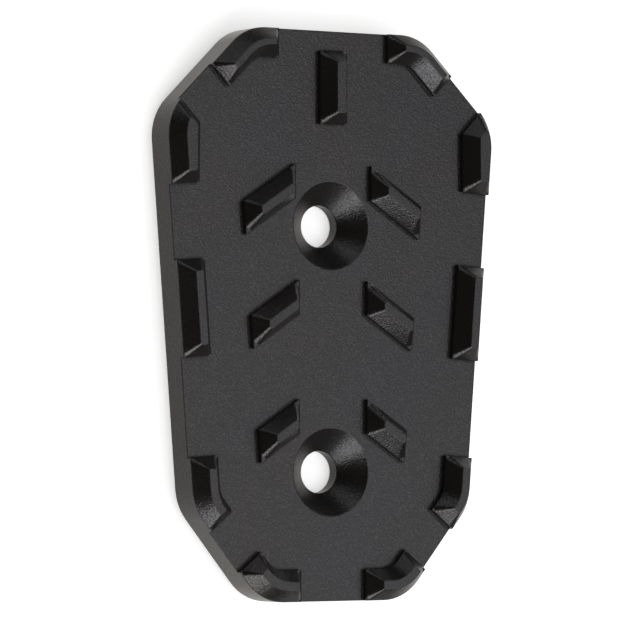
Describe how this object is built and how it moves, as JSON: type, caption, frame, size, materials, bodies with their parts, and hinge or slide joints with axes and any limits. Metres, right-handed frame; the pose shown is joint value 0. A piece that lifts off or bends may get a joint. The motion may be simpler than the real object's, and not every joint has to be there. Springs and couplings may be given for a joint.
{
  "type": "brake pedal extension",
  "caption": "Flat black aluminium foot pad that screws onto a motorcycle brake pedal to widen it, with raised grip lugs round its edge and in slanted rows.",
  "frame": {"origin": "middle of the flat back face, under the middle of the pad's outline, where the pad lies on the pedal", "axes": "+Z out of the tread, up from the back face; +Y along the line of the two screw holes, towards the end with the upright bar; +X to the right when the tread is seen with +Y up"},
  "size_m": [0.0498, 0.0742, 0.0078],
  "materials": {
    "black_anodised_aluminium": "fine bead-blasted, black anodised, matt with a soft sheen"
  },
  "bodies": {
    "root": {"pedal_pad": "black_anodised_aluminium"}
  },
  "joints": []
}
